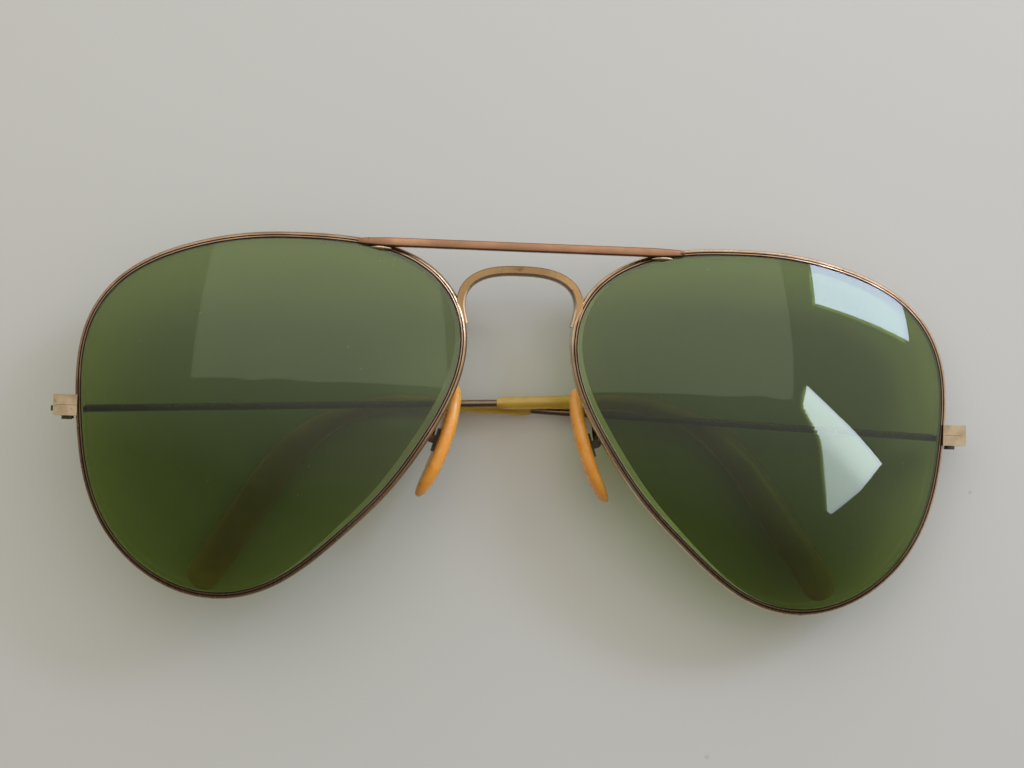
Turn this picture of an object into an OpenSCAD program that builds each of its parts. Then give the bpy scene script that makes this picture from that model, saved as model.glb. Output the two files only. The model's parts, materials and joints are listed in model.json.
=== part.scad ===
// Wire-framed aviator sunglasses, folded and lying on their temples with the lens fronts up.
// Front frame: X across the face, Y up to the brow, Z forward out of the lenses, zero at the lens crowns.
// The side with negative X is called left. Every right piece is the mirror image of the left one.

/* [Rims and lenses] */
// Width of one rim, outside to outside
rim_outer_w = 57.2; // [54:0.2:59]
// Gap between the two rims where they come closest
rim_gap = 16.2; // [15:0.2:18]
// Radius of the sphere that lens and rim follow
base_curve_r = 88; // [80:1:110]
// Turn of each lens towards the temple side, in degrees
wrap_angle = 3; // [1:0.5:4]
// Width of the rim wire as seen from the front
rim_w = 1; // [0.9:0.05:1.2]
// Depth of the rim wire, front to back
rim_depth = 1.7; // [1.5:0.05:1.8]
// Thickness of the glass
lens_t = 2; // [1.8:0.1:2.3]

/* [Bar and bridge] */
// Height of the brow bar as seen from the front
bar_h = 1.3; // [1:0.1:1.8]
// Half the length of the brow bar
bar_half = 24.3; // [22:0.1:25]
// Width of the bridge band as seen from the front
bridge_band_w = 1.3; // [0.9:0.05:1.4]
// Depth of the bridge band
bridge_depth = 1.5; // [1.2:0.1:1.8]

/* [Nose pads] */
// Length of a nose pad
pad_length = 18; // [15:0.5:18]
// Greatest width of a nose pad
pad_width = 7.5; // [6.5:0.1:7.6]
// Thickness of a nose pad
pad_t = 2.1; // [1.6:0.1:2.2]
// Lean of the pads away from upright, in degrees
pad_lean = 17.4; // [16:0.2:19]

/* [Hinges] */
// Height of one whole endpiece, both halves together
endpiece_h = 3.1; // [3:0.05:3.3]
// Radius of the hinge screw's shank
hinge_screw_r = 0.45; // [0.4:0.01:0.5]
// Radius of the closing screw's shank
closing_screw_r = 0.33; // [0.25:0.01:0.35]

/* [Temples] */
// Radius of the temple wire
wire_r = 0.55; // [0.45:0.01:0.6]
// Length of a temple from hinge to tip end, along its path
temple_length = 130; // [125:1:135]
// Distance from the hinge to the start of the ear bend
bend_start = 82; // [80:1:84]
// Radius of the ear bend
bend_r = 26; // [24:1:28]
// Angle of the ear bend, in degrees
bend_angle = 60; // [50:1:62]
// Distance from the hinge to the start of the plastic tip
tip_start = 64.5; // [62:0.5:68]
// Greatest width of the plastic tip
paddle_w = 5.5; // [4.5:0.1:6]
// Rise of the folded left temple towards the brow, in degrees
left_rise = 2.82; // [2.8:0.01:2.85]
// Rise of the folded right temple towards the brow, in degrees
right_rise = 2.08; // [2.05:0.01:2.1]
// Angle of the folded left temple behind the front, in degrees
left_fold = 4.05; // [4:0.05:4.1]
// Angle of the folded right temple behind the front, in degrees
right_fold = 6; // [5.95:0.05:6.05]
// Inward turn of the left temple's ear bend, in degrees
left_roll = 8; // [6:0.5:9]
// Inward turn of the right temple's ear bend, in degrees
right_roll = 0; // [0:0.5:2]

/* [Lying on a table] */
// Height of the front frame's zero above the table
rest_height = 17.44; // [15:0.01:25]
// Place of the front frame's zero across the table
rest_x = 0.53; // [-5:0.01:5]
// Place of the front frame's zero along the table
rest_y = 3.07; // [-5:0.01:5]
// Lean of the front about X when the folded glasses lie at rest, in degrees
rest_lean_x = -4.32; // [-8:0.01:8]
// Lean of the front about Y when the folded glasses lie at rest, in degrees
rest_lean_y = 3.65; // [-8:0.01:8]

/* [Hidden] */
$fn = 64;

gold = [0.72, 0.53, 0.36];
dark_gold = [0.45, 0.33, 0.22];
glass_green = [0.30, 0.37, 0.20, 0.75];
pad_orange = [0.90, 0.58, 0.20];
tip_amber = [0.55, 0.47, 0.15, 0.85];

clear = 0.04;            // gap between pieces that touch
overrun = 0.5;           // how far a cutter runs past what it cuts
outline_low = -14;       // where an extruded outline starts, behind the front frame
outline_high = 20;       // and how far forward it runs

// Rim outline: distance from the lens centre to the rim's outer edge, every 30 degrees from the
// nose side round over the brow, for a rim 57.2 wide. A smooth closed curve is drawn through them.
shape_w = 57.2;
shape_nose_reach = 30.4; // how far the outline reaches towards the nose
shape_temple_reach = 26.8;
rim_shape = [28.1, 33.2, 28.4, 24.8, 25.6, 28.0, 26.8, 28.5, 30.6, 28.7, 24.1, 23.9];
shape_n = len(rim_shape);
outline_step = 4;        // degrees between the points of a drawn outline
lens_scale = rim_outer_w / shape_w;
lens_x = rim_gap / 2 + shape_nose_reach * lens_scale;
groove_depth = 0.45;
groove_w = 0.7;
bevel_w = 0.6;

bar_y = 24 * lens_scale;
bar_back_z = -3.5;
bar_t = 1.4;
bar_tip_h = 0.9;
bar_taper = 4.3;         // length over which each end of the bar narrows

bridge_half = 8.85;      // half width of the arch at its centre line
bridge_spring_y = 15;    // where the arch springs from its straight legs
bridge_rise = 5.65;
bridge_foot = [7.9, 12.4];
bridge_z = -5.4;
arch_power = 2.6;        // 2 is an ellipse, higher is squarer

split_y = -1.68;         // where the rim and the endpiece part
endpiece_top = split_y + endpiece_h / 2;
endpiece_bottom = split_y - endpiece_h / 2;
endpiece_front = -4.1;
endpiece_out_x = lens_x + shape_temple_reach * lens_scale + 2.74;
endpiece_in_x = endpiece_out_x - 2.95;
lip_t = 0.48;            // the front lip that reaches in behind the rim
lip_reach = 0.55;
hinge_x = endpiece_out_x - 1.1;
hinge_z = -8.4;
slot_top = split_y + clear / 2;
slot_h = 1.02;
slot_bottom = slot_top - slot_h;
slot_mid = slot_top - slot_h / 2;
slot_behind = 2;         // how far the slot runs behind the hinge, and how far ahead
slot_ahead = 1.2;
tail_slot_w = 1.75;      // the deeper part of the slot, for the butt's tail
tail_slot_depth = 2.5;
ear_r = 1.05;
eye_r = 1;
eye_t = slot_h - 0.12;
closing_x = hinge_x - 1.15;
closing_z = -5.3;
bore_clear = 0.03;
bore_cover = 0.35;       // metal left above a blind screw hole
hinge_head = [0.78, 0.5, 0.22]; // radius, thickness and slot width of the screw heads
closing_head = [0.56, 0.4, 0.18];
slot_share = 0.45;       // depth of a screw slot as a share of its head

pad_curve_r = 38;
pad_apex = [-10.6, -5.35, -8.4];
pad_splay = 4;
pad_taper = 0.55;        // how much narrower the upper half of a pad is
pad_sides = 48;
insert_t = 0.35;
insert_gap = 0.08;
insert_length = 3.6;
pin_r = 0.3;
pin_proud = 0.1;         // how far the pin stands out of the lower ear
pin_head_r = 0.45;
pin_head_t = 0.25;
arm_r = 0.4;
arm_ball_r = 0.424;      // the rounded corners of the arm, a hair thicker than its straights
arm_eye_r = 0.55;
eye_gap = 0.06;          // play between the arm's eye and each ear
pin_back = pad_t / 2 + insert_gap + insert_t + arm_eye_r + 0.02; // from the pad's middle to its pin
insert_ear_r = 0.62;
ear_gap = 0.7;           // from the middle of the insert to the inside of each ear
ear_t = 0.35;
arm_points = [[-10.55, 0.5, -3.5], [-10.97, 0.48, -4.75], [-11.82, -0.88, -6.9], [-12.25, -3.27, -8.25]];

neck_end = 3;
neck_w = 0.9;
neck_h = eye_t - 0.04;
neck_gap = 0.06;         // between the butt's neck and the wire
tail_out = 2.3;
tail_w = 0.8;
tail_h = eye_t - 0.1;
core_r = 0.4;
tip_clear = 0.02;        // gap between the wire and the tip moulded on it
core_step = tip_start + 2;
core_margin = 3.5;       // from the end of the core to the end of the tip
arc_length = bend_r * bend_angle * PI / 180;
straight_end = temple_length - bend_start - arc_length;
tip_sides = 14;
// Half width and half thickness of the plastic tip, by distance from where it starts
tip_half_w = [[0, 0.68], [1.5, 0.98], [8, 1.02], [14, 1.12], [20, 1.2], [28, 1.45], [38, 2.3],
  [46, paddle_w / 2 - 0.1], [54, paddle_w / 2], [62, paddle_w / 2 - 0.05], [80, paddle_w / 2 - 0.05]];
tip_half_t = [[0, 0.68], [1.5, 0.96], [14, 1.02], [30, 1.12], [80, 1.1]];
tip_total = temple_length - tip_start;
tip_round = 2.6;         // length of the rounded end
tip_rings = [for (s = [0, 0.4, 0.9, 1.5, 4, 8, 12, 16]) s,
  for (s = [18.5 : 2.4 : tip_total - tip_round]) s,
  for (a = [0 : 15 : 75]) tip_total - tip_round + tip_round * sin(a),
  tip_total - tip_round * 0.004];

// ---- small helpers

function sum(v, i = 0) = i < len(v) ? v[i] + sum(v, i + 1) : 0;
function polar(r, a) = [r * cos(a), r * sin(a)];

// Weight of one radius in the smooth closed curve through all of them
function wave(x) = abs(sin(x / 2)) < 1e-6 ? 1 : sin(shape_n * x / 2) / (shape_n * tan(x / 2));
function rim_r(a) =
  lens_scale * sum([for (k = [0 : shape_n - 1]) rim_shape[k] * wave(a - k * 360 / shape_n)]);

// A point on the outline, moved inwards by inset, square to the curve
function rim_point(a, inset) =
  let (p = polar(rim_r(a), a))
  let (d = polar(rim_r(a + 1), a + 1) - polar(rim_r(a - 1), a - 1))
  p + inset * [-d[1], d[0]] / norm(d);
function rim_outline(inset) = [for (a = [0 : outline_step : 359]) rim_point(a, inset)];

module side(s) {
  if (s == "left") children();
  else mirror([1, 0, 0]) children();
}

// Stands the whole front frame on the table as the folded glasses lie
module lying() {
  translate([rest_x, rest_y, rest_height])
    rotate([rest_lean_x, rest_lean_y, 0])
      children();
}

module on_lens() {
  translate([-lens_x, 0, 0])
    rotate([0, -wrap_angle, 0])
      children();
}

// A ball on the lens's base curve, grown by d; its poles point along Y, clear of the lens
module curve_ball(d) {
  translate([0, 0, -base_curve_r])
    rotate([90, 0, 0])
      sphere(r = base_curve_r + d, $fn = 200);
}

// The part of a curved sheet of thickness t that lies inside an outline
module curved_disc(inset, t) {
  intersection() {
    difference() {
      curve_ball(t / 2);
      curve_ball(-t / 2);
    }
    translate([0, 0, outline_low])
      linear_extrude(outline_high)
        polygon(rim_outline(inset));
  }
}

// A round bar between two points
module rod(a, b, r) {
  d = b - a;
  translate(a)
    rotate([0, acos(d[2] / norm(d)), atan2(d[1], d[0])])
      cylinder(h = norm(d), r = r);
}

// ---- rims, lenses, bar and bridge

module rim() {
  color(gold)
    on_lens()
      difference() {
        curved_disc(0, rim_depth);
        translate([0, 0, outline_low])
          linear_extrude(outline_high)
            polygon(rim_outline(rim_w));
        curved_disc(rim_w - groove_depth, groove_w);
        translate([-lens_x, split_y - clear / 2, outline_low])
          cube([lens_x, clear, outline_high]);
      }
}

module lens() {
  color(glass_green)
    on_lens()
      union() {
        curved_disc(rim_w + clear, lens_t);
        curved_disc(rim_w - groove_depth + clear, bevel_w);
      }
}

module brow_bar() {
  full = bar_half - bar_taper;
  color(gold)
    difference() {
      translate([0, bar_y, bar_back_z])
        linear_extrude(bar_t)
          polygon([[-bar_half, -bar_tip_h / 2], [-full, -bar_h / 2], [full, -bar_h / 2],
            [bar_half, -bar_tip_h / 2], [bar_half, bar_tip_h / 2], [full, bar_h / 2],
            [-full, bar_h / 2], [-bar_half, bar_tip_h / 2]]);
      for (s = ["left", "right"])
        side(s)
          on_lens()
            curve_ball(rim_depth / 2 + clear);
    }
}

// A point of the arch, grown outwards by d
function arch_point(t, d) =
  [(bridge_half + d) * sign(cos(t)) * pow(abs(cos(t)), 2 / arch_power),
   bridge_spring_y + (bridge_rise + d) * pow(sin(t), 2 / arch_power)];
function arch(d) = [for (t = [0 : 5 : 180]) arch_point(t, d)];

module bridge() {
  half_w = bridge_band_w / 2;
  inner = arch(-half_w);
  color(gold)
    difference() {
      translate([0, 0, bridge_z])
        linear_extrude(bridge_depth)
          polygon(concat(
            [[bridge_foot[0] + half_w, bridge_foot[1]]],
            arch(half_w),
            [[-bridge_foot[0] - half_w, bridge_foot[1]], [-bridge_foot[0] + half_w, bridge_foot[1]]],
            [for (i = [len(inner) - 1 : -1 : 0]) inner[i]],
            [[bridge_foot[0] - half_w, bridge_foot[1]]]));
      for (s = ["left", "right"])
        side(s) on_lens()
          translate([0, 0, outline_low])
            linear_extrude(outline_high)
              polygon(rim_outline(-clear / 2));
    }
}

// ---- nose pads: local X points at the nose, local Y up along the pad, local Z forward

module on_pad() {
  translate(pad_apex)
    rotate([0, 0, -pad_lean])
      rotate([0, pad_splay, 0])
        children();
}

module nose_pad() {
  outline = [for (i = [0 : pad_sides - 1])
    let (t = i * 360 / pad_sides)
    [pad_length / 2 * sin(t), (pad_width / 2 - pad_taper * sin(t)) * cos(t)]];
  color(pad_orange)
    on_pad()
      intersection() {
        translate([-pad_curve_r, 0, 0])
          difference() {
            sphere(r = pad_curve_r + pad_t / 2, $fn = 120);
            sphere(r = pad_curve_r - pad_t / 2, $fn = 120);
          }
        translate([-2 * pad_t, 0, 0])
          rotate([90, 0, 90])
            linear_extrude(3 * pad_t)
              polygon(outline);
      }
}

// The bore for the pin, through both ears and the arm's eye
module pin_bore() {
  reach = ear_gap + ear_t + overrun;
  translate([-pin_back, 0, -reach])
    cylinder(r = pin_r + bore_clear, h = 2 * reach);
}

module pad_insert() {
  back = pad_t / 2 + insert_gap;
  color(dark_gold)
    on_pad()
      difference() {
        union() {
          translate([-back - insert_t, -insert_length / 2, -ear_gap - ear_t])
            cube([insert_t, insert_length, 2 * (ear_gap + ear_t)]);
          for (z = [-ear_gap - ear_t, ear_gap]) {
            translate([-pin_back, -insert_ear_r, z])
              cube([pin_back - back - insert_t / 2, 2 * insert_ear_r, ear_t]);
            translate([-pin_back, 0, z])
              cylinder(r = insert_ear_r, h = ear_t);
          }
        }
        pin_bore();
      }
}

module pad_pin() {
  outside = ear_gap + ear_t;
  color(dark_gold)
    on_pad()
      translate([-pin_back, 0, 0])
        union() {
          translate([0, 0, -outside - pin_proud])
            cylinder(r = pin_r, h = 2 * outside + pin_proud + clear / 2);
          translate([0, 0, outside + clear / 2])
            cylinder(r = pin_head_r, h = pin_head_t);
        }
}

// The wire starts at the rim's back, where the ball that the back follows cuts it to fit
module pad_arm() {
  last = arm_points[len(arm_points) - 1];
  color(gold)
    difference() {
      union() {
        intersection() {
          rod(arm_points[0], arm_points[1], arm_r);
          on_lens()
            curve_ball(-rim_depth / 2 - clear / 2);
        }
        for (i = [1 : len(arm_points) - 2])
          rod(arm_points[i], arm_points[i + 1], arm_r);
        for (i = [1 : len(arm_points) - 1])
          translate(arm_points[i])
            sphere(r = arm_ball_r);
        rod(last, pad_pin_centre() + [-0.05, 0.25, 0], arm_r);
        on_pad()
          translate([-pin_back, 0, -ear_gap + eye_gap])
            cylinder(r = arm_eye_r, h = 2 * (ear_gap - eye_gap));
      }
      on_pad()
        pin_bore();
    }
}

// Where the pin's middle lies in the front frame
function pad_pin_centre() =
  pad_apex + pin_back * cos(pad_splay) * [-cos(pad_lean), sin(pad_lean), 0]
  + [0, 0, pin_back * sin(pad_splay)];

// ---- endpieces and their screws

// One half of the block, between the heights y0 and y1, with its bores
module endpiece_half(y0, y1) {
  translate([-endpiece_out_x, y0, hinge_z])
    cube([endpiece_out_x - endpiece_in_x, y1 - y0, endpiece_front - hinge_z]);
  translate([-endpiece_in_x - clear, y0, endpiece_front - lip_t])
    cube([lip_reach, y1 - y0, lip_t]);
  translate([-hinge_x, y1, hinge_z])
    rotate([90, 0, 0])
      cylinder(r = ear_r, h = y1 - y0);
}

module screw_hole(x, z, r) {
  translate([-x, endpiece_bottom - overrun, z])
    rotate([-90, 0, 0])
      cylinder(r = r, h = endpiece_h - bore_cover + overrun);
}

// The slot that the temple's butt turns in, open behind and to the outside
module butt_slot() {
  translate([-endpiece_out_x - overrun, slot_bottom, hinge_z - slot_behind])
    cube([endpiece_out_x - endpiece_in_x + 2 * overrun, slot_h, slot_behind + slot_ahead]);
  translate([-endpiece_out_x - overrun, slot_bottom, hinge_z])
    cube([tail_slot_w + overrun, slot_h, tail_slot_depth]);
}

// The rim's own space, a little grown, which the endpieces are cut to fit
module rim_space() {
  on_lens()
    intersection() {
      curve_ball(rim_depth / 2 + clear / 2);
      translate([0, 0, outline_low])
        linear_extrude(outline_high)
          polygon(rim_outline(-clear / 2));
    }
}

module endpiece_upper() {
  color(gold)
    difference() {
      endpiece_half(split_y + clear / 2, endpiece_top);
      rim_space();
      screw_hole(hinge_x, hinge_z, hinge_screw_r + 0.01);
      screw_hole(closing_x, closing_z, closing_screw_r + 0.01);
    }
}

module endpiece_lower() {
  color(gold)
    difference() {
      endpiece_half(endpiece_bottom, split_y - clear / 2);
      rim_space();
      butt_slot();
      screw_hole(hinge_x, hinge_z, hinge_screw_r + bore_clear);
      screw_hole(closing_x, closing_z, closing_screw_r + bore_clear);
    }
}

// A slotted screw pointing up along Y, with its head under the endpiece
module screw(x, z, r, head) {
  head_r = head[0];
  head_t = head[1];
  slot_w = head[2];
  color(dark_gold)
    translate([-x, endpiece_bottom, z])
      difference() {
        union() {
          translate([0, -clear / 2 - head_t / 2, 0])
            rotate([-90, 0, 0])
              cylinder(r = r, h = endpiece_h - bore_cover - 0.05 + head_t / 2);
          translate([0, -clear / 2, 0])
            rotate([90, 0, 0])
              cylinder(r = head_r, h = head_t);
        }
        translate([-head_r - overrun, -clear / 2 - head_t - overrun, -slot_w / 2])
          cube([2 * (head_r + overrun), overrun + head_t * slot_share, slot_w]);
      }
}

module hinge_screw() {
  screw(hinge_x, hinge_z, hinge_screw_r, hinge_head);
}

module closing_screw() {
  screw(closing_x, closing_z, closing_screw_r, closing_head);
}

// ---- temples: local X runs along the folded temple, local Y up to the brow, local Z to the lenses

module on_hinge(fold) {
  translate([-hinge_x, slot_mid, hinge_z])
    rotate([0, fold, 0])
      children();
}

module on_wire(fold, rise, roll) {
  on_hinge(fold)
    rotate([0, 0, rise])
      rotate([-roll, 0, 0])
        children();
}

module temple_butt(fold) {
  color(dark_gold)
    on_hinge(fold)
      difference() {
        union() {
          rotate([90, 0, 0])
            cylinder(r = eye_r, h = eye_t, center = true);
          translate([-tail_out, -tail_h / 2, -tail_w / 2])
            cube([tail_out, tail_h, tail_w]);
          translate([0, -neck_h / 2, -neck_w / 2])
            cube([neck_end, neck_h, neck_w]);
        }
        rotate([90, 0, 0])
          cylinder(r = hinge_screw_r + bore_clear, h = 2 * eye_t, center = true);
      }
}

// The thin core from the step in the wire to its end, grown by d. The bend is a hair thicker than
// the straights, so that no two surfaces run into each other at a tangent.
module core(d) {
  translate([core_step - clear, 0, 0])
    rotate([0, 90, 0])
      cylinder(r = core_r + d, h = bend_start - core_step + clear);
  translate([bend_start, -bend_r, 0])
    rotate([0, 0, 90 - bend_angle])
      rotate_extrude(angle = bend_angle)
        translate([bend_r, 0])
          circle(r = core_r + d + 0.01);
  translate([bend_start, -bend_r, 0])
    rotate([0, 0, -bend_angle])
      translate([0, bend_r, 0])
        rotate([0, 90, 0])
          cylinder(r = core_r + d, h = straight_end - core_margin + d);
}

module temple_wire(fold, rise, roll) {
  start = neck_end + neck_gap;
  color(gold)
    on_wire(fold, rise, roll)
      union() {
        translate([start, 0, 0])
          rotate([0, 90, 0])
            cylinder(r = wire_r, h = core_step - start);
        core(0);
      }
}

// Place and heading along the temple's path
function path_angle(s) =
  s < bend_start ? 0 : min(bend_angle, (s - bend_start) / bend_r * 180 / PI);
function path_point(s) =
  s < bend_start ? [s, 0]
  : let (a = path_angle(s))
    let (past = max(0, s - bend_start - arc_length))
    [bend_start + bend_r * sin(a) + past * cos(a), -bend_r * (1 - cos(a)) - past * sin(a)];

// How much of its full section the tip has at a distance t from its start: it rounds off at the end
function tip_fill(t) =
  let (u = (t - (tip_total - tip_round)) / tip_round)
  u <= 0 ? 1 : sqrt(max(0, 1 - u * u));

function tip_ring(t) =
  let (s = tip_start + t)
  let (p = path_point(s))
  let (a = path_angle(s))
  [for (i = [0 : tip_sides - 1])
    let (e = i * 360 / tip_sides)
    let (w = lookup(t, tip_half_w) * tip_fill(t) * cos(e))
    let (h = lookup(t, tip_half_t) * tip_fill(t) * sin(e))
    [p[0] + w * sin(a), p[1] + w * cos(a), h]];

module tip_body() {
  rings = len(tip_rings);
  points = [for (t = tip_rings) each tip_ring(t)];
  walls = [for (j = [0 : rings - 2]) for (i = [0 : tip_sides - 1])
    let (k = (i + 1) % tip_sides)
    [j * tip_sides + i, (j + 1) * tip_sides + i, (j + 1) * tip_sides + k, j * tip_sides + k]];
  first = [for (i = [0 : tip_sides - 1]) i];
  last = [for (i = [tip_sides - 1 : -1 : 0]) (rings - 1) * tip_sides + i];
  polyhedron(points, concat([first], walls, [last]), convexity = 6);
}

module temple_tip(fold, rise, roll) {
  color(tip_amber)
    on_wire(fold, rise, roll)
      difference() {
        tip_body();
        translate([tip_start - overrun, 0, 0])
          rotate([0, 90, 0])
            cylinder(r = wire_r + tip_clear, h = core_step - tip_start + overrun + tip_clear);
        core(tip_clear);
      }
}

// ---- what is drawn

for (s = ["left", "right"]) {
  fold = s == "left" ? left_fold : right_fold;
  rise = s == "left" ? left_rise : right_rise;
  roll = s == "left" ? left_roll : right_roll;
  lying() side(s) rim();
  lying() side(s) lens();
  lying() side(s) pad_arm();
  lying() side(s) pad_pin();
  lying() side(s) pad_insert();
  lying() side(s) nose_pad();
  lying() side(s) endpiece_upper();
  lying() side(s) endpiece_lower();
  lying() side(s) closing_screw();
  lying() side(s) hinge_screw();
  lying() side(s) temple_butt(fold);
  lying() side(s) temple_wire(fold, rise, roll);
  lying() side(s) temple_tip(fold, rise, roll);
}
lying() brow_bar();
lying() bridge();
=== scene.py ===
"""Looks for the folded aviator sunglasses: mesh-code pieces, procedural materials, light and camera."""

import json
import math

import bmesh
import bpy
from mathutils import Matrix, Vector


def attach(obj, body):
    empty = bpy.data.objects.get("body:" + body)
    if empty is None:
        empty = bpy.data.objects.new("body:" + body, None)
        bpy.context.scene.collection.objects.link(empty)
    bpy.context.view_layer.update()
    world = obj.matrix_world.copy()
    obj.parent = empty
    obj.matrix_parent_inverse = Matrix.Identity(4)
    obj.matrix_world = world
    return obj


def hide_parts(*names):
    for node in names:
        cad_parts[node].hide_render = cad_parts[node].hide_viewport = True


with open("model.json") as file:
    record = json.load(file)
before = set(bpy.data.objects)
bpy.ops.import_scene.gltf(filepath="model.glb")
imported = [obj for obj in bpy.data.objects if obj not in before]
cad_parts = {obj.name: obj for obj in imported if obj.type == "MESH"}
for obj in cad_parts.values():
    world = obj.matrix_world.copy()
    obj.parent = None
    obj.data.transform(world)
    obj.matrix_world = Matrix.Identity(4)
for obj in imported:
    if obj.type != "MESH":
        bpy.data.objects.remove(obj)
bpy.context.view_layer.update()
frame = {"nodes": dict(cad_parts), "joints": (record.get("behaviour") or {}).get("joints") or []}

# ---- sizes in millimetres, in the front frame, as in the CAD source

MM = 0.001
SIDES = ("left", "right")

# lenses and rims: the outline is a closed curve through twelve evenly turned radii
LENS_X = 38.5        # from the middle of the front to a lens's middle
CURVE_R = 88.0       # radius of the base curve
WRAP = 3.0           # degrees that each lens is turned back
RIM_W = 1.0
RIM_DEPTH = 1.7
LENS_T = 2.0
CLEAR = 0.04         # play between glass and rim
GROOVE = 0.45        # how far the glass reaches into the rim
RIM_SHAPE = (28.1, 33.2, 28.4, 24.8, 25.6, 28.0, 26.8, 28.5, 30.6, 28.7, 24.1, 23.9)
RIM_STEPS = 300
LENS_STEPS = 240

# brow bar: a flat strip whose height tapers towards both tips
BAR_HALF = 24.3
BAR_Y = 24.0
BAR_BACK = -3.5
BAR_T = 1.4
BAR_H = 1.3
BAR_TIP_H = 0.9
BAR_TAPER = 4.3

# bridge: a band that follows a superellipse
ARCH_HALF = 8.85
ARCH_SPRING = 15.0
ARCH_RISE = 5.65
ARCH_POWER = 2.6
BRIDGE_FOOT = (8.25, 12.4)
BRIDGE_Z = -5.4
BRIDGE_W = 1.4
BRIDGE_DEPTH = 1.5

# nose pads, the pins behind them and the arms that carry them
PAD_APEX = (-10.6, -5.35, -8.4)
PAD_LEAN = 17.4
PAD_SPLAY = 4.0
PAD_CURVE = 38.0
PAD_LENGTH = 18.0
PAD_WIDTH = 7.5
PAD_TAPER = 0.55
PAD_T = 2.1
PIN_BACK = 2.05
PIN_BORE = 0.32
EYE_R = 0.55
EYE_HALF = 0.64
ARM_R = 0.4
ARM_PATH = ((-10.5, 0.55, -3.75), (-10.65, 0.5, -4.3), (-11.0, 0.4, -5.0), (-11.82, -0.88, -6.9),
            (-12.25, -3.27, -8.25), (-12.46, -4.32, -8.27))

# temples: fold, rise and roll of each one in degrees, then the wire's own path
SLOT_MID = -2.17
HINGE_Z = -8.4
TEMPLE = {"left": (4.05, 2.82, 8.0), "right": (6.0, 2.08, 0.0)}
BEND_START = 82.0
BEND_R = 26.0
BEND_ANGLE = 60.0
TEMPLE_LENGTH = 130.0
WIRE_R = 0.55
CORE_R = 0.4

# plastic tips: half width and half thickness against the distance from the tip's front end
TIP_START = 64.5
TIP_ROUND = 2.6
TIP_MOUTH = 2.2      # length over which the front end opens out
CORE_MARGIN = 3.5    # from the core's end to the tip's end
BORE_PLAY = 0.02
TIP_HALF_W = ((0, 0.68), (1.5, 0.98), (8, 1.02), (14, 1.12), (20, 1.2), (28, 1.45), (38, 2.3),
              (46, 2.65), (54, 2.75), (62, 2.7), (80, 2.7))
TIP_HALF_T = ((0, 0.68), (1.5, 0.96), (14, 1.02), (30, 1.12), (80, 1.1))

# ---- the front frame in the row frame, from the two temple hinges in the record

joints = {j["name"]: j for j in frame["joints"]}
hinge_left = Vector(joints["temple_hinge_left"]["pos_m"])
hinge_right = Vector(joints["temple_hinge_right"]["pos_m"])
across = (hinge_right - hinge_left).normalized()
brow = Vector(joints["temple_hinge_left"]["axis"]).normalized()
outward = across.cross(brow)
front_zero = (hinge_left + hinge_right) / 2 - (brow * SLOT_MID + outward * HINGE_Z) * MM
FRONT_TURN = Matrix((across, brow, outward)).transposed().to_4x4()
FRONT = Matrix.Translation(front_zero) @ FRONT_TURN @ Matrix.Scale(MM, 4)
HINGE_X = (hinge_right - hinge_left).length / MM / 2


def turn(axis, degrees):
    return Matrix.Rotation(math.radians(degrees), 4, axis)


def place(side):
    """Millimetres in the front frame to metres in the row frame, mirrored for the right side."""
    return FRONT if side == "left" else FRONT @ Matrix.Diagonal((-1, 1, 1, 1))


ON_LENS = Matrix.Translation((-LENS_X, 0, 0)) @ turn("Y", -WRAP)
ON_PAD = Matrix.Translation(PAD_APEX) @ turn("Z", -PAD_LEAN) @ turn("Y", PAD_SPLAY)


def on_wire(side):
    fold, rise, roll = TEMPLE[side]
    return (Matrix.Translation((-HINGE_X, SLOT_MID, HINGE_Z)) @ turn("Y", fold)
            @ turn("Z", rise) @ turn("X", -roll))


# ---- mesh helpers


def lookup(x, table):
    for (x0, y0), (x1, y1) in zip(table, table[1:]):
        if x <= x1:
            return y0 + (y1 - y0) * max(0.0, (x - x0) / (x1 - x0))
    return table[-1][1]


def piece(name, verts, faces, matrix, body, material, stands_for=(), smooth_angle=40):
    """One named mesh, placed by matrix, with outward normals, riding on a body."""
    mesh = bpy.data.meshes.new(name)
    mesh.from_pydata([matrix @ Vector(v) for v in verts], [], faces)
    bm = bmesh.new()
    bm.from_mesh(mesh)
    bmesh.ops.remove_doubles(bm, verts=bm.verts, dist=1e-7)
    bmesh.ops.recalc_face_normals(bm, faces=bm.faces)
    bm.to_mesh(mesh)
    bm.free()
    mesh.shade_smooth()
    obj = bpy.data.objects.new(name, mesh)
    bpy.context.scene.collection.objects.link(obj)
    for m in material if isinstance(material, (list, tuple)) else [material]:
        mesh.materials.append(m)
    mesh.set_sharp_from_angle(angle=math.radians(smooth_angle))
    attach(obj, body)
    if stands_for:
        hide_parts(*stands_for)
    return obj


def loft(rings, closed=False, caps=True):
    """Vertices and faces of a skin over rings of equal length."""
    n = len(rings[0])
    verts = [p for ring in rings for p in ring]
    count = len(rings)
    faces = []
    for j in range(count if closed else count - 1):
        a, b = j * n, ((j + 1) % count) * n
        for i in range(n):
            k = (i + 1) % n
            faces.append((a + i, a + k, b + k, b + i))
    if caps and not closed:
        faces.append(tuple(range(n))[::-1])
        faces.append(tuple((count - 1) * n + i for i in range(n)))
    return verts, faces


def paint_sides(obj, ring_size, sides, index):
    """Gives another material to the strips of a loft that start at the listed points of its section."""
    for f in obj.data.polygons:
        around = sorted(v % ring_size for v in f.vertices)
        if around[0] in sides and around[-1] == around[0] + 1:
            f.material_index = index


def paint_rows(obj, ring_size, first, last):
    """Gives the second material to the faces between two rings of a loft."""
    for f in obj.data.polygons:
        ring = min(v // ring_size for v in f.vertices)
        if first <= ring < last and len(f.vertices) == 4:
            f.material_index = 1


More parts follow.
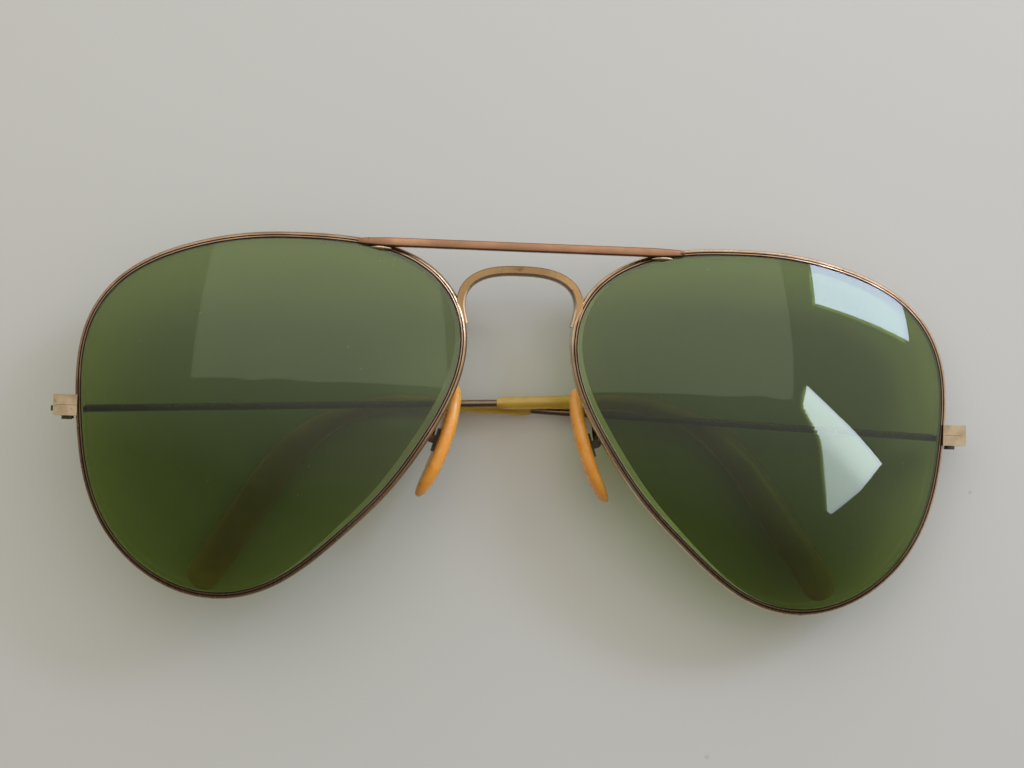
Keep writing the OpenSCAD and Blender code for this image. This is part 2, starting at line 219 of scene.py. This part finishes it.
def rounded_rect(w, h, radius, steps=4):
    """Points of a rectangle w by h with rounded corners, anticlockwise from its right side."""
    points = []
    for cx, cy, start in ((1, 1, 0), (-1, 1, 90), (-1, -1, 180), (1, -1, 270)):
        for i in range(steps + 1):
            a = math.radians(start + 90 * i / steps)
            points.append((cx * (w / 2 - radius) + radius * math.cos(a),
                           cy * (h / 2 - radius) + radius * math.sin(a)))
    return points


def smooth_path(points, per_span=8):
    """A Catmull-Rom line through the points."""
    pts = [Vector(p) for p in points]
    pts = [2 * pts[0] - pts[1], *pts, 2 * pts[-1] - pts[-2]]
    line = []
    for i in range(1, len(pts) - 2):
        p0, p1, p2, p3 = pts[i - 1:i + 3]
        for s in range(per_span):
            t = s / per_span
            line.append(0.5 * (2 * p1 + (p2 - p0) * t + (2 * p0 - 5 * p1 + 4 * p2 - p3) * t * t
                               + (3 * p1 - p0 - 3 * p2 + p3) * t ** 3))
    line.append(pts[-2])
    return line


def tube_rings(line, radius, sides=20):
    """Round rings along a line; radius is a number or a function of the share of the way along."""
    rings = []
    side = Vector((0, 0, 1))
    for i, p in enumerate(line):
        along = (line[min(i + 1, len(line) - 1)] - line[max(i - 1, 0)]).normalized()
        side = (side - along * side.dot(along)).normalized()
        other = along.cross(side)
        r = radius(i / (len(line) - 1)) if callable(radius) else radius
        rings.append([p + r * (side * math.cos(a) + other * math.sin(a))
                      for a in (2 * math.pi * k / sides for k in range(sides))])
    return rings


# ---- the rim's outline


def wave(degrees):
    half = math.radians(degrees) / 2
    n = len(RIM_SHAPE)
    return 1.0 if abs(math.sin(half)) < 1e-6 else math.sin(n * half) / (n * math.tan(half))


def rim_r(a):
    step = 360 / len(RIM_SHAPE)
    return sum(r * wave(a - k * step) for k, r in enumerate(RIM_SHAPE))


def polar(a):
    return Vector((math.cos(math.radians(a)), math.sin(math.radians(a)))) * rim_r(a)


def rim_point(a, inset):
    """A point on the outline, moved inwards by inset."""
    d = (polar(a + 1) - polar(a - 1)).normalized()
    return polar(a) + inset * Vector((-d.y, d.x))


def curve_z(p, lift=0.0):
    """Height of the base curve, grown by lift, over a point in the lens's own plane."""
    return math.sqrt((CURVE_R + lift) ** 2 - p.x ** 2 - p.y ** 2) - CURVE_R


# ---- materials


class Nodes:
    """A material's node tree with short names for what this script uses."""

    def __init__(self, name):
        self.material = bpy.data.materials.new(name)
        self.material.use_nodes = True
        self.tree = self.material.node_tree
        self.bsdf = self.tree.nodes["Principled BSDF"]
        self.coords = self.tree.nodes.new("ShaderNodeTexCoord").outputs["Object"]

    def set(self, **values):
        for key, value in values.items():
            self.bsdf.inputs[key.replace("_", " ")].default_value = value

    def link(self, a, b):
        self.tree.links.new(a, b)

    def stretched(self, scale, turned=(0, 0, 0)):
        node = self.tree.nodes.new("ShaderNodeMapping")
        node.inputs["Scale"].default_value = scale
        node.inputs["Rotation"].default_value = turned
        self.link(self.coords, node.inputs["Vector"])
        return node.outputs["Vector"]

    def noise(self, scale, detail=4.0, rough=0.5, vector=None, distortion=0.0):
        node = self.tree.nodes.new("ShaderNodeTexNoise")
        node.inputs["Scale"].default_value = scale
        node.inputs["Detail"].default_value = detail
        node.inputs["Roughness"].default_value = rough
        node.inputs["Distortion"].default_value = distortion
        self.link(vector or self.coords, node.inputs["Vector"])
        return node.outputs["Fac"]

    def specks(self, scale, radius):
        """1 inside small round specks of a given share of their spacing, 0 elsewhere."""
        node = self.tree.nodes.new("ShaderNodeTexVoronoi")
        node.inputs["Scale"].default_value = scale
        node.inputs["Randomness"].default_value = 1.0
        self.link(self.coords, node.inputs["Vector"])
        return self.range(node.outputs["Distance"], radius, radius * 0.6, 0.0, 1.0)

    def range(self, value, low, high, to_low=0.0, to_high=1.0):
        node = self.tree.nodes.new("ShaderNodeMapRange")
        for key, number in (("From Min", low), ("From Max", high), ("To Min", to_low), ("To Max", to_high)):
            node.inputs[key].default_value = number
        self.link(value, node.inputs["Value"])
        return node.outputs["Result"]

    def maths(self, operation, a, b):
        node = self.tree.nodes.new("ShaderNodeMath")
        node.operation = operation
        for socket, value in zip(node.inputs, (a, b)):
            if isinstance(value, (int, float)):
                socket.default_value = value
            else:
                self.link(value, socket)
        return node.outputs[0]

    def mix(self, share, a, b):
        node = self.tree.nodes.new("ShaderNodeMix")
        node.data_type = "RGBA"
        self.link(share, node.inputs["Factor"])
        for socket, value in ((node.inputs[6], a), (node.inputs[7], b)):
            if isinstance(value, tuple):
                socket.default_value = (*value, 1)
            else:
                self.link(value, socket)
        return node.outputs[2]

    def bump(self, height, strength, distance_mm):
        node = self.tree.nodes.new("ShaderNodeBump")
        node.inputs["Strength"].default_value = strength
        node.inputs["Distance"].default_value = distance_mm * MM
        self.link(height, node.inputs["Height"])
        self.link(node.outputs["Normal"], self.bsdf.inputs["Normal"])

    def colour(self, socket):
        self.link(socket, self.bsdf.inputs["Base Color"])

    def roughness(self, socket):
        self.link(socket, self.bsdf.inputs["Roughness"])


def worn_metal(name, fresh, dull, grime, rough=(0.2, 0.36), grime_from=0.6, patch=130):
    """Thin plating, worn bright in places and dull or grimy in others, with fine scratches."""
    m = Nodes(name)
    m.set(Metallic=1.0)
    patches = m.range(m.noise(patch, 4, 0.55, distortion=0.6), 0.36, 0.64)
    dirt = m.maths("MULTIPLY", m.range(m.noise(700, 5, 0.6), grime_from, grime_from + 0.12),
                   m.range(m.noise(90, 3, 0.5), 0.42, 0.6))
    scratches = m.noise(1.0, 3, 0.6, m.stretched((2600, 500, 2600), (0.2, 0.3, 0.6)))
    m.colour(m.mix(dirt, m.mix(patches, fresh, dull), grime))
    wear = m.maths("ADD", m.range(patches, 0, 1, *rough), m.range(dirt, 0, 1, 0, 0.3))
    m.roughness(m.maths("ADD", wear, m.range(scratches, 0.4, 0.7, -0.04, 0.08)))
    m.bump(m.maths("ADD", scratches, m.maths("MULTIPLY", dirt, 0.8)), 0.16, 0.02)
    return m.material


def lamp_safe(m, tint):
    """Lets lamps reach what lies behind glass, through a tinted clear shader for their rays."""
    tree = m.tree
    path = tree.nodes.new("ShaderNodeLightPath")
    clear = tree.nodes.new("ShaderNodeBsdfTransparent")
    clear.inputs["Color"].default_value = (*tint, 1)
    mix = tree.nodes.new("ShaderNodeMixShader")
    out = tree.nodes["Material Output"]
    m.link(m.maths("MAXIMUM", path.outputs["Is Shadow Ray"], path.outputs["Is Diffuse Ray"]),
           mix.inputs["Fac"])
    m.link(m.bsdf.outputs[0], mix.inputs[1])
    m.link(clear.outputs[0], mix.inputs[2])
    m.link(mix.outputs[0], out.inputs["Surface"])


def lens_glass():
    m = Nodes("green_glass")
    m.set(IOR=1.52, Transmission_Weight=1.0)
    cloud = m.noise(60, 3, 0.5)
    m.colour(m.mix(cloud, (0.165, 0.238, 0.040), (0.19, 0.266, 0.050)))
    smear = m.range(m.noise(1.0, 4, 0.6, m.stretched((70, 260, 70), (0, 0, 0.5))), 0.5, 0.75, 0.0, 0.045)
    dust = m.maths("MULTIPLY", m.specks(800, 0.075), m.range(m.noise(150, 2), 0.52, 0.62))
    m.roughness(m.maths("ADD", smear, m.maths("MULTIPLY", dust, 0.3)))
    m.bump(m.maths("ADD", dust, m.maths("MULTIPLY", m.noise(220, 2), 0.04)), 0.12, 0.02)
    lamp_safe(m, (0.35, 0.42, 0.18))
    return m.material


def ground_edge():
    """The matt ground edge of the glass, which shows as a pale band inside the rim."""
    m = Nodes("ground_glass_edge")
    grain = m.noise(3000, 3, 0.6)
    m.colour(m.mix(grain, (0.80, 0.70, 0.92), (0.93, 0.82, 1.0)))
    m.set(IOR=1.5, Transmission_Weight=0.6)
    m.roughness(m.range(grain, 0.3, 0.7, 0.45, 0.75))
    m.bump(grain, 0.4, 0.02)
    return m.material


def pad_plastic():
    m = Nodes("orange_pad")
    m.set(IOR=1.47, Subsurface_Weight=0.55, Subsurface_Scale=0.0016, Coat_Weight=0.25, Coat_Roughness=0.12)
    m.bsdf.inputs["Subsurface Radius"].default_value = (1.0, 0.42, 0.1)
    cloud = m.range(m.noise(330, 4, 0.55, distortion=0.8), 0.35, 0.65)
    grime = m.range(m.noise(1300, 5, 0.6), 0.6, 0.72)
    orange = m.mix(cloud, (0.84, 0.33, 0.035), (0.88, 0.42, 0.08))
    m.colour(m.mix(m.maths("MULTIPLY", grime, 0.35), orange, (0.46, 0.22, 0.06)))
    m.roughness(m.range(m.noise(700, 4), 0.35, 0.65, 0.22, 0.42))
    m.bump(m.noise(900, 4, 0.5), 0.25, 0.04)
    return m.material


def tip_plastic():
    m = Nodes("amber_tip")
    m.set(IOR=1.46, Transmission_Weight=0.5)
    cloud = m.range(m.noise(210, 3, 0.55, distortion=0.5), 0.35, 0.65)
    m.colour(m.mix(cloud, (0.68, 0.45, 0.06), (0.78, 0.56, 0.10)))
    m.roughness(m.range(m.noise(500, 4), 0.3, 0.7, 0.08, 0.24))
    m.bump(m.noise(600, 3, 0.5), 0.2, 0.03)
    lamp_safe(m, (0.62, 0.46, 0.16))
    return m.material


GOLD = worn_metal("worn_gold", (0.44, 0.29, 0.175), (0.27, 0.165, 0.095), (0.11, 0.07, 0.045))
# Pale gold: a painted highlight on the right rim's outer face and on the bridge's bevel.
HIGHLIGHT_GOLD = worn_metal("painted_highlight_gold", (0.82, 0.66, 0.48), (0.60, 0.44, 0.30), (0.25, 0.16, 0.10),
                    rough=(0.16, 0.28))
BAND = worn_metal("bridge_gold", (0.37, 0.225, 0.105), (0.29, 0.17, 0.08), (0.12, 0.07, 0.035),
                  rough=(0.26, 0.4))
COPPER = worn_metal("copper_bar", (0.38, 0.20, 0.115), (0.29, 0.15, 0.085), (0.10, 0.055, 0.035),
                    rough=(0.28, 0.42))
HINGE_METAL = worn_metal("hinge_gold", (0.55, 0.42, 0.26), (0.36, 0.25, 0.16), (0.10, 0.07, 0.04),
                         rough=(0.36, 0.5), patch=260)
TARNISH = worn_metal("tarnished_metal", (0.10, 0.072, 0.052), (0.06, 0.043, 0.03), (0.03, 0.022, 0.015),
                     rough=(0.34, 0.5), patch=400)
WIRE = worn_metal("temple_wire_gold", (0.18, 0.125, 0.08), (0.125, 0.085, 0.055), (0.08, 0.055, 0.035),
                  rough=(0.24, 0.38), grime_from=0.72)
SOLDER = worn_metal("solder_gold", (0.62, 0.47, 0.32), (0.40, 0.27, 0.17), (0.12, 0.08, 0.05),
                    rough=(0.22, 0.4), patch=900)
# Near-black metal: painted shade and grime in the rim's front groove and inner step; also painted on the
# brow bar's corners.
SHADE_AND_GRIME = worn_metal("painted_shade_and_grime", (0.06, 0.042, 0.03), (0.04, 0.028, 0.02), (0.02, 0.014, 0.01),
                     rough=(0.45, 0.6))
GLASS = lens_glass()
EDGE = ground_edge()
PAD = pad_plastic()
TIP = tip_plastic()

# ---- rims


def rim_profile():
    """The rim wire's section, u outwards and v forward, with its sides that get painted shade and grime and
    its sides that get a painted highlight.
    """
    w, front, back = RIM_W / 2, RIM_DEPTH / 2, -RIM_DEPTH / 2
    groove_at, groove_half, groove_deep = -0.03, 0.1, 0.17
    lip = 0.2
    section = [(w, back + 0.2), (w, front - 0.3), (w - 0.05, front - 0.14), (w - 0.15, front - 0.04),
               (w - 0.27, front), (groove_at + groove_half, front), (groove_at + 0.05, front - groove_deep),
               (groove_at - 0.05, front - groove_deep), (groove_at - groove_half, front),
               (-w + lip + 0.06, front), (-w + lip, front - 0.06), (-w + lip, front - 0.3),
               (-w, front - 0.36), (-w, back + 0.2), (-w + 0.06, back + 0.06), (-w + 0.2, back),
               (w - 0.2, back), (w - 0.06, back + 0.06)]
    # The groove and the inner step are painted near-black: painted shade, and grime.
    shade_and_grime_sides = {5, 6, 7, 10, 11, 12}
    # The outer face, painted pale on the right rim only: a painted highlight.
    painted_highlight_sides = {0, 1, 2, 3}
    return section, shade_and_grime_sides, painted_highlight_sides


def rim(side):
    """The eyewire, with painted shade and grime in its front groove and inner step and, on the right, a
    painted highlight on its outer face.
    """
    section, shade_and_grime_sides, painted_highlight_sides = rim_profile()
    rings = []
    for i in range(RIM_STEPS):
        ring = []
        for u, v in section:
            p = rim_point(360 / RIM_STEPS * i, RIM_W / 2 - u)
            ring.append((p.x, p.y, curve_z(p, v)))
        rings.append(ring)
    verts, faces = loft(rings, closed=True)
    obj = piece(f"eyewire_{side}", verts, faces, place(side) @ ON_LENS, "front", [GOLD, SHADE_AND_GRIME, HIGHLIGHT_GOLD],
                [f"rim_{side}"], smooth_angle=50)
    paint_sides(obj, len(section), shade_and_grime_sides, 1)
    # Only the right rim gets the painted highlight on its outer face.
    if side == "right":
        paint_sides(obj, len(section), painted_highlight_sides, 2)


# ---- lenses


def nose_share(a):
    """1 on the nose side of a lens, 0 on the temple side."""
    widest_at = 350
    return max(0.0, math.cos(math.radians(a - widest_at))) ** 1.5


def lens(side):
    """Front surface, V-shaped ground edge in the rim's groove, and back surface with its chamfer."""
    shares = [0.04, 0.25, 0.45, 0.62, 0.76, 0.87, 0.95, 0.985, 1.0]
    edge_in = RIM_W + CLEAR
    edge_out = RIM_W - GROOVE + CLEAR
    half = LENS_T / 2
    edge_high, edge_low = 0.32, 0.2
    chamfer, nose_chamfer = 0.15, 1.0
    rows = []

    def edge_back(a):
        return edge_in + chamfer + nose_chamfer * nose_share(a)

    def row(inset_of, lift, share=1.0):
        ring = []
        for i in range(LENS_STEPS):
            a = 360 * i / LENS_STEPS
            p = rim_point(a, inset_of(a)) * share
            ring.append((p.x, p.y, curve_z(p, lift)))
        rows.append(ring)

    for s in shares:
        row(lambda a: edge_in, half, s)
    ground_from = len(rows) - 1
    row(lambda a: edge_in, edge_high)
    row(lambda a: edge_out, edge_low)
    row(lambda a: edge_out, -edge_low)
    row(lambda a: edge_in, -edge_high)
    row(edge_back, -half)
    ground_to = len(rows) - 1
    for s in reversed(shares):
        row(edge_back, -half, s)
    verts, faces = loft(rows)
    obj = piece(f"glass_{side}", verts, faces, place(side) @ ON_LENS, "front", [GLASS, EDGE],
                [f"lens_{side}"], smooth_angle=25)
    paint_rows(obj, LENS_STEPS, ground_from, ground_to)


# ---- brow bar and bridge


def brow_bar():
    """A flat strip on edge, with soft corners whose halves that turn up and down are painted near-black."""
    steps, corner, end_fade = 60, 0.24, 0.72
    # The halves of the front corners that turn up and down take the near-black metal.
    dark_corner_strips = {0, 1, 7, 8}
    rings = []
    for i in range(steps + 1):
        s = -1 + 2 * i / steps
        x = s * BAR_HALF
        end = max(0.0, (abs(x) - (BAR_HALF - BAR_TAPER)) / BAR_TAPER)
        h = BAR_H + (BAR_TIP_H - BAR_H) * end
        fade = 1 if abs(s) < 1 else end_fade
        section = rounded_rect(h * fade, BAR_T * fade, corner * fade)
        rings.append([(x, BAR_Y + u, BAR_BACK + BAR_T / 2 + v) for u, v in section])
    verts, faces = loft(rings)
    obj = piece("brow_bar_strip", verts, faces, FRONT, "front", [COPPER, SHADE_AND_GRIME], ["brow_bar"])
    paint_sides(obj, len(section), dark_corner_strips, 1)


def arch_line():
    """The bridge's middle line, foot to foot, in even steps with its corners softened."""
    arch_steps, even_steps, softenings = 60, 90, 3
    line = [Vector(BRIDGE_FOOT)]
    for i in range(arch_steps + 1):
        t = math.pi * i / arch_steps
        x = ARCH_HALF * math.copysign(abs(math.cos(t)) ** (2 / ARCH_POWER), math.cos(t))
        y = ARCH_SPRING + ARCH_RISE * max(0.0, math.sin(t)) ** (2 / ARCH_POWER)
        line.append(Vector((x, y)))
    line.append(Vector((-BRIDGE_FOOT[0], BRIDGE_FOOT[1])))
    even = []
    lengths = [0.0]
    for a, b in zip(line, line[1:]):
        lengths.append(lengths[-1] + (b - a).length)
    for k in range(even_steps + 1):
        want = lengths[-1] * k / even_steps
        i = max(j for j in range(len(lengths)) if lengths[j] <= want + 1e-9)
        i = min(i, len(line) - 2)
        share = (want - lengths[i]) / (lengths[i + 1] - lengths[i])
        even.append(line[i].lerp(line[i + 1], share))
    for _ in range(softenings):
        inner = [(a + 2 * b + c) / 4 for a, b, c in zip(even, even[1:], even[2:])]
        even = [even[0], *inner, even[-1]]
    return even


def bridge():
    """A flat band on edge, its inner front edge cut to a bevel that carries a painted highlight."""
    w, d, bevel, soft = BRIDGE_W / 2, BRIDGE_DEPTH / 2, 0.36, 0.12
    bevel_faces = {3, 4}
    section = [(w, -d + soft), (w, d - soft), (w - soft, d), (-w + bevel, d),
               (-w + bevel * 0.5, d - bevel * 0.35), (-w, d - bevel * 0.9), (-w, -d + soft),
               (-w + soft, -d), (w - soft, -d)]
    line = arch_line()
    rings = []
    for i, p in enumerate(line):
        along = (line[min(i + 1, len(line) - 1)] - line[max(i - 1, 0)]).normalized()
        out = Vector((along.y, -along.x))
        rings.append([(p.x + u * out.x, p.y + u * out.y, BRIDGE_Z + d + v) for u, v in section])
    verts, faces = loft(rings)
    obj = piece("bridge_band", verts, faces, FRONT, "front", [BAND, HIGHLIGHT_GOLD], ["bridge"],
                smooth_angle=28)
    # The bevel takes the pale gold: a painted highlight.
    paint_sides(obj, len(section), bevel_faces, 1)


# ---- nose pads and their arms


def nose_pad(side):
    """A soft-edged leaf on a gentle curve; its local Y runs up the pad and X towards the nose."""
    count, blunt = 72, 8
    across_steps = [0.05, 0.25, 0.45, 0.63, 0.76, 0.86, 0.93, 0.965, 0.988, 1.0]

    def thickness(s):
        return PAD_T / 2 * math.sqrt(1 - s ** blunt)

    def row(s, sign):
        ring = []
        for i in range(count):
            t = 2 * math.pi * i / count
            y = s * PAD_LENGTH / 2 * math.sin(t)
            z = s * (PAD_WIDTH / 2 - PAD_TAPER * math.sin(t)) * math.cos(t)
            mid = math.sqrt(PAD_CURVE ** 2 - y * y - z * z) - PAD_CURVE
            ring.append((mid + sign * thickness(s), y, z))
        return ring

    rings = [row(s, 1) for s in across_steps] + [row(s, -1) for s in reversed(across_steps[:-1])]
    verts, faces = loft(rings)
    obj = piece(f"pad_{side}", verts, faces, place(side) @ ON_PAD, f"nose_pad_body_{side}", PAD,
                [f"nose_pad_{side}"], smooth_angle=80)
    obj.modifiers.new("smooth", "SUBSURF").render_levels = 1


def pad_arm(side):
    """The bent arm wire, thick in the solder at the rim, ending in a small eye on the pad's pin."""
    root_swell, root_share = 0.75, 0.1
    rings = tube_rings(smooth_path(ARM_PATH),
                       lambda s: ARM_R * (1 + root_swell * max(0.0, 1 - s / root_share)))
    verts, faces = loft(rings)
    piece(f"arm_wire_{side}", verts, faces, place(side), "front", TARNISH, [f"pad_arm_{side}"])
    soft, eye_steps = 0.06, 32
    section = [(EYE_R, soft - EYE_HALF), (EYE_R, EYE_HALF - soft), (EYE_R - soft, EYE_HALF),
               (PIN_BORE, EYE_HALF), (PIN_BORE, -EYE_HALF), (EYE_R - soft, -EYE_HALF)]
    rings = [[(u * math.cos(a) - PIN_BACK, u * math.sin(a), v) for u, v in section]
             for a in (2 * math.pi * k / eye_steps for k in range(eye_steps))]
    verts, faces = loft(rings, closed=True)
    piece(f"arm_eye_{side}", verts, faces, place(side) @ ON_PAD, "front", TARNISH)


def solder(side):
    """Small fillets of solder where the arm, the bridge and the bar meet the rim."""
    seams = {"arm": ((-10.5, 1.3, -3.0), (-10.4, 0.6, -3.2), (-10.7, -0.2, -3.3), 0.42),
             "bridge": ((-8.75, 14.6, -4.3), (-8.7, 13.5, -4.3), (-8.75, 12.5, -4.4), 0.36),
             "bar": ((-22.6, 23.2, -2.9), (-21.0, 23.2, -2.7), (-19.4, 23.1, -2.9), 0.34)}
    for name, (a, b, c, r) in seams.items():
        line = smooth_path((a, b, c), 10)
        rings = tube_rings(line, lambda s: r * (0.12 + math.sin(math.pi * (0.04 + 0.92 * s)) ** 0.6), 16)
        verts, faces = loft(rings)
        piece(f"solder_{name}_{side}", verts, faces, place(side), "front", SOLDER)


# ---- temple tips


def path_at(s):
    """Place, and heading in degrees, along the temple's own path."""
    if s < BEND_START:
        return Vector((s, 0)), 0.0
    a = min(BEND_ANGLE, math.degrees((s - BEND_START) / BEND_R))
    r = math.radians(a)
    past = max(0.0, s - BEND_START - BEND_R * math.radians(BEND_ANGLE))
    return Vector((BEND_START + BEND_R * math.sin(r) + past * math.cos(r),
                   -BEND_R * (1 - math.cos(r)) - past * math.sin(r))), r


def section_ring(s, w, h, sides=36):
    p, r = path_at(s)
    ring = []
    for i in range(sides):
        e = 2 * math.pi * i / sides
        u, v = w * math.cos(e), h * math.sin(e)
        ring.append((p.x + u * math.sin(r), p.y + u * math.cos(r), v))
    return ring


def temple_tip(side):
    """A clear plastic sleeve, bored out for the core that shows as a dark line inside it."""
    total = TEMPLE_LENGTH - TIP_START
    round_from = total - TIP_ROUND
    core_end = total - CORE_MARGIN
    body_steps, bore_steps = 70, 60
    stations = [0, 0.25, 0.6, 1.0, 1.5, TIP_MOUTH]
    stations += [TIP_MOUTH + (total - TIP_ROUND - TIP_MOUTH) * i / body_steps
                 for i in range(1, body_steps + 1)]
    stations += [round_from + TIP_ROUND * math.sin(math.radians(a)) for a in range(10, 90, 10)]
    stations.append(total - 0.01)
    rings = []
    for t in stations:
        u = (t - round_from) / TIP_ROUND
        fill = 1.0 if u <= 0 else math.sqrt(max(0.0, 1 - u * u))
        rings.append(section_ring(TIP_START + t, lookup(t, TIP_HALF_W) * fill,
                                  lookup(t, TIP_HALF_T) * fill))
    bore = [(core_end, 0.05), (core_end - 0.05, CORE_R + 0.015)]
    bore += [(core_end - 0.4 - (core_end - 2.9) * i / bore_steps, CORE_R + 0.015)
             for i in range(bore_steps + 1)]
    bore += [(2.1, CORE_R + BORE_PLAY), (2.0, WIRE_R + BORE_PLAY), (0.0, WIRE_R + BORE_PLAY)]
    outer_verts, outer_faces = loft(rings, caps=False)
    n = len(rings[0])
    outer_faces.append(tuple(range(len(outer_verts) - n, len(outer_verts))))
    inner = [section_ring(TIP_START + t, r, r) for t, r in bore]
    inner_verts, inner_faces = loft(inner, caps=False)
    base = len(outer_verts)
    faces = outer_faces + [tuple(base + v for v in f) for f in inner_faces]
    faces.append(tuple(base + i for i in range(n)))
    mouth = base + (len(inner) - 1) * n
    faces += [(i, (i + 1) % n, mouth + (i + 1) % n, mouth + i) for i in range(n)]
    piece(f"sleeve_{side}", outer_verts + inner_verts, faces, place(side) @ on_wire(side),
          f"temple_{side}", TIP, [f"temple_tip_{side}"], smooth_angle=50)


# ---- CAD nodes that stay: softened edges and their own metals


def dress(name, material, edge_mm):
    """Gives a CAD node its metal and, where edge_mm isn't 0, softened edges."""
    node = frame["nodes"][name]
    node.data.materials.clear()
    node.data.materials.append(material)
    if edge_mm:
        soften = node.modifiers.new("soft_edges", "BEVEL")
        soften.width = edge_mm * MM
        soften.segments = 2
        soften.limit_method = "ANGLE"
        soften.angle_limit = math.radians(35)
        soften.harden_normals = True


for s in SIDES:
    rim(s)
    lens(s)
    pad_arm(s)
    solder(s)
    nose_pad(s)
    temple_tip(s)
    dress(f"endpiece_upper_{s}", HINGE_METAL, 0.12)
    dress(f"endpiece_lower_{s}", HINGE_METAL, 0.12)
    dress(f"closing_screw_{s}", TARNISH, 0.05)
    dress(f"hinge_screw_{s}", TARNISH, 0.05)
    dress(f"temple_butt_{s}", TARNISH, 0.06)
    dress(f"temple_wire_{s}", WIRE, 0)
    dress(f"pad_insert_{s}", TARNISH, 0.04)
    dress(f"pad_pin_{s}", TARNISH, 0.03)
brow_bar()
bridge()

# ---- floor, light and camera


def floor():
    """A wide pale table top with a soft grain and a little dust."""
    m = Nodes("pale_table")
    cloud = m.noise(9, 4, 0.5)
    grain = m.noise(700, 3, 0.6)
    dust = m.maths("MULTIPLY", m.specks(90, 0.05), m.range(m.noise(40, 2), 0.55, 0.6))
    pale = m.mix(cloud, (0.60, 0.578, 0.528), (0.635, 0.612, 0.562))
    m.colour(m.mix(m.maths("MULTIPLY", dust, 0.5), pale, (0.3, 0.28, 0.25)))
    m.roughness(m.range(grain, 0.3, 0.7, 0.5, 0.62))
    m.bump(grain, 0.06, 0.05)
    mesh = bpy.data.meshes.new("table_top")
    bm = bmesh.new()
    bmesh.ops.create_grid(bm, x_segments=8, y_segments=8, size=3.0)
    bm.to_mesh(mesh)
    bm.free()
    mesh.materials.append(m.material)
    obj = bpy.data.objects.new("table_top", mesh)
    bpy.context.scene.collection.objects.link(obj)


def soft_light(name, spot, size, power, colour, tilt=0.0):
    """A rectangular light over the glasses, in metres in the front frame, facing straight down."""
    light = bpy.data.lights.new(name, "AREA")
    light.shape = "RECTANGLE"
    light.size, light.size_y = size
    light.energy = power
    light.color = colour
    obj = bpy.data.objects.new(name, light)
    obj.matrix_world = (Matrix.Translation(front_zero) @ FRONT_TURN
                        @ Matrix.Translation(spot) @ turn("Z", tilt))
    bpy.context.scene.collection.objects.link(obj)
    return obj


def far_window():
    """A window half hidden by a curtain: strips of light, shown by the right-hand glass only."""
    glint = bpy.data.collections.new("glass_that_shows_the_far_window")
    glint.objects.link(bpy.data.objects["glass_right"])
    tilt = -35.5
    depth = 0.135
    count = 36
    corner = Vector((0.205, 0.060, 0.35))
    along = Vector((math.cos(math.radians(tilt)), math.sin(math.radians(tilt)), 0))
    down = Vector((along.y, -along.x, 0))
    daylight = (0.78, 0.89, 1.0)
    starts = ((0.0, 0.0), (0.2, 0.012), (0.42, 0.07), (0.7, 0.115), (1.0, 0.165))
    ends = ((0.0, 0.218), (0.5, 0.205), (1.0, 0.178))
    glows = ((0.0, 13.0), (0.3, 11.0), (0.5, 7.0), (1.0, 5.5))
    strip = depth / count
    for k in range(count):
        share = (k + 0.5) / count
        start, end, glow = lookup(share, starts), lookup(share, ends), lookup(share, glows)
        spot = corner + along * (start + end) / 2 + down * strip * (k + 0.5)
        power = glow * math.pi * (end - start) * strip
        light = soft_light(f"far_window_{k}", spot, (end - start, strip), power, daylight, tilt)
        light.light_linking.receiver_collection = glint


def world_light():
    """Soft room light, bright from the brow side, dim and warmer from the chin side."""
    world = bpy.data.worlds.new("room")
    world.use_nodes = True
    tree = world.node_tree
    background = tree.nodes["Background"]
    coords = tree.nodes.new("ShaderNodeTexCoord")
    brightest = tree.nodes.new("ShaderNodeVectorMath")
    brightest.operation = "DOT_PRODUCT"
    brightest.inputs[1].default_value = (0.28, 0.96, 0.0)
    tree.links.new(coords.outputs["Generated"], brightest.inputs[0])
    shift = tree.nodes.new("ShaderNodeMapRange")
    shift.inputs["From Min"].default_value = -1.0
    tree.links.new(brightest.outputs["Value"], shift.inputs["Value"])
    ramp = tree.nodes.new("ShaderNodeValToRGB")
    tree.links.new(shift.outputs["Result"], ramp.inputs["Fac"])
    levels = ((0.0, 0.12, 0.18), (0.2, 0.14, 0.18), (0.36, 0.22, 0.14), (0.5, 0.6, 0.07),
              (0.64, 0.95, 0.02), (0.9, 1.35, 0.0))
    stops = ramp.color_ramp.elements
    stops.remove(stops[1])
    stops[0].position = 0.0
    for position, level, warmth in levels:
        stop = stops.new(position) if position else stops[0]
        stop.color = (level, level * (1 - warmth * 0.4), level * (1 - warmth), 1)
    tree.links.new(ramp.outputs["Color"], background.inputs["Color"])
    bpy.context.scene.world = world


def camera():
    """The camera looks almost square on to the front, from 0.23 m away."""
    turned = turn("Z", -2.06) @ turn("Y", 2.945) @ turn("X", -2.23)
    back = turned.inverted()
    data = bpy.data.cameras.new("camera")
    data.sensor_width = 36
    data.lens = 56.25
    data.clip_start = 0.01
    data.clip_end = 20
    obj = bpy.data.objects.new("camera", data)
    spot = FRONT @ back @ Vector((-0.894, 3.58, 234.05))
    obj.matrix_world = Matrix.Translation(spot) @ FRONT_TURN @ back
    bpy.context.scene.collection.objects.link(obj)
    bpy.context.scene.camera = obj


floor()
soft_light("window", (0.42, 0.305, 0.40), (0.295, 0.16), 2.0, (0.61, 0.72, 1.0), tilt=-6.0)
soft_light("pale_ceiling", (-0.015, 0.14, 0.25), (0.31, 0.22), 0.125, (0.98, 1.0, 0.82))
far_window()
world_light()
camera()
bpy.context.scene.view_settings.view_transform = "Standard"
